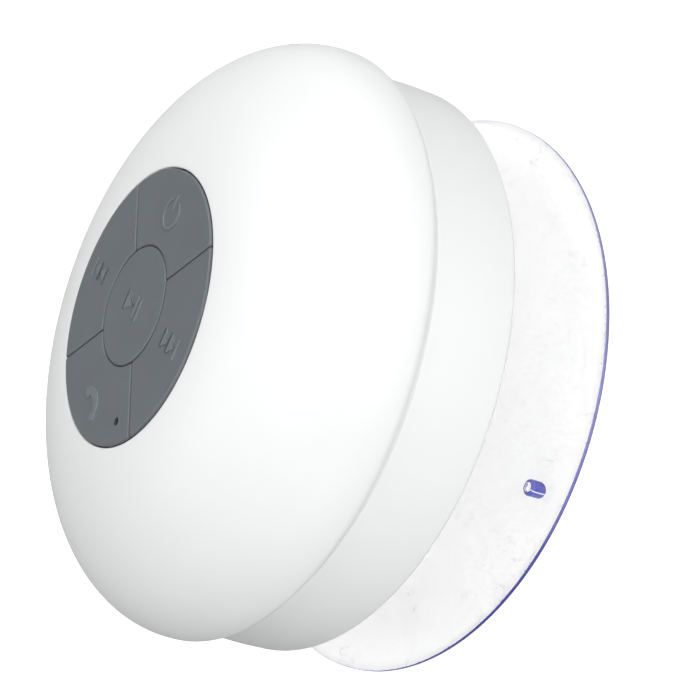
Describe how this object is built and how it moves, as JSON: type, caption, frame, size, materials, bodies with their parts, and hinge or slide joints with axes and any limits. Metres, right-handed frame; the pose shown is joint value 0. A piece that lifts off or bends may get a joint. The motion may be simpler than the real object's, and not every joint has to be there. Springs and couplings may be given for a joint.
{
  "type": "shower speaker",
  "caption": "Round waterproof speaker with a domed silicone front, a ring of soft keys and a clear suction cup that it stands or hangs on.",
  "frame": {"origin": "centre of the suction cup's sealing rim, on the plane that the rim rests on", "axes": "+Z along the speaker's axis from the cup to the keypad; +Y towards the power key, -Y towards the phone key and the charging socket; +X towards the next key"},
  "size_m": [0.0858, 0.0858, 0.048],
  "materials": {
    "white_silicone": "satin moulded silicone",
    "white_abs": "smooth moulded ABS",
    "clear_silicone": "soft translucent silicone",
    "grey_silicone": "matt moulded silicone",
    "circuit_board": "solder mask over glass-epoxy board",
    "shield_can": "tinned",
    "steel": "zinc plated",
    "black_nylon": "matt moulded nylon",
    "plunger_nylon": "matt moulded nylon",
    "black_rubber": "matt moulded rubber",
    "led_lens": "clear moulded lens",
    "black_mesh": "fine woven polyester",
    "foam": "closed-cell foam",
    "basket_steel": "zinc plated pressed steel",
    "cone_paper": "coated paper",
    "spider_cloth": "resin-stiffened cloth",
    "copper": "enamelled copper winding",
    "ferrite": "ground ferrite",
    "pouch_foil": "laminated foil pouch",
    "lead_wire": "insulated stranded wire",
    "plug_silicone": "satin moulded silicone",
    "clear_pvc": "clear, polished moulded soft PVC"
  },
  "bodies": {
    "speaker": {"front_cover": "white_silicone", "front_shell": "white_abs", "seal_ring": "clear_silicone", "key_mat": "grey_silicone", "key_board": "circuit_board", "charge_board": "circuit_board", "radio_module": "shield_can", "charge_socket": "steel", "key_switches": "black_nylon", "amplifier_chip": "black_nylon", "microphone": "shield_can", "mic_boot": "black_rubber", "status_led": "led_lens", "board_screws": "steel", "case_screws": "steel", "driver_screws": "steel", "charge_screws": "steel", "rear_housing": "white_abs", "rear_mesh": "black_mesh", "driver_gasket": "foam", "battery_pad": "foam", "driver_basket": "basket_steel", "top_plate": "basket_steel", "driver_yoke": "basket_steel", "surround": "black_rubber", "spider": "spider_cloth", "driver_magnet": "ferrite", "battery": "pouch_foil", "battery_leads": "lead_wire", "speaker_leads": "lead_wire", "charge_leads": "lead_wire", "plug_anchor": "plug_silicone"},
    "cup": {"suction_cup": "clear_pvc"},
    "plug": {"port_plug": "plug_silicone"},
    "cone": {"speaker_cone": "cone_paper", "voice_coil": "copper"},
    "power_button": {"power_key": "grey_silicone", "power_plunger": "plunger_nylon"},
    "previous_button": {"previous_key": "grey_silicone", "previous_plunger": "plunger_nylon"},
    "play_button": {"play_key": "grey_silicone", "play_plunger": "plunger_nylon"},
    "next_button": {"next_key": "grey_silicone", "next_plunger": "plunger_nylon"},
    "phone_button": {"phone_key": "grey_silicone", "phone_plunger": "plunger_nylon"}
  },
  "joints": [
    {"name": "cup_swivel", "type": "hinge", "parent": "speaker", "child": "cup", "pos_m": [0, 0, 0.016], "axis": [0, 0, 1], "continuous": true},
    {"name": "power_press", "type": "slide", "parent": "speaker", "child": "power_button", "axis": [0, 0, -1], "range_m": [0, 0.0005], "stiffness_N_per_m": 3000},
    {"name": "previous_press", "type": "slide", "parent": "speaker", "child": "previous_button", "axis": [0, 0, -1], "range_m": [0, 0.0005], "stiffness_N_per_m": 3000},
    {"name": "play_press", "type": "slide", "parent": "speaker", "child": "play_button", "axis": [0, 0, -1], "range_m": [0, 0.0005], "stiffness_N_per_m": 3000},
    {"name": "next_press", "type": "slide", "parent": "speaker", "child": "next_button", "axis": [0, 0, -1], "range_m": [0, 0.0005], "stiffness_N_per_m": 3000},
    {"name": "phone_press", "type": "slide", "parent": "speaker", "child": "phone_button", "axis": [0, 0, -1], "range_m": [0, 0.0005], "stiffness_N_per_m": 3000},
    {"name": "plug_hinge", "type": "hinge", "parent": "speaker", "child": "plug", "pos_m": [0.0062, -0.0413, 0.0225], "axis": [0, 0, 1], "range_deg": [0, 110]},
    {"name": "cone_travel", "type": "slide", "parent": "speaker", "child": "cone", "axis": [0, 0, 1], "range_m": [-0.0008, 0.0008], "stiffness_N_per_m": 1800}
  ]
}
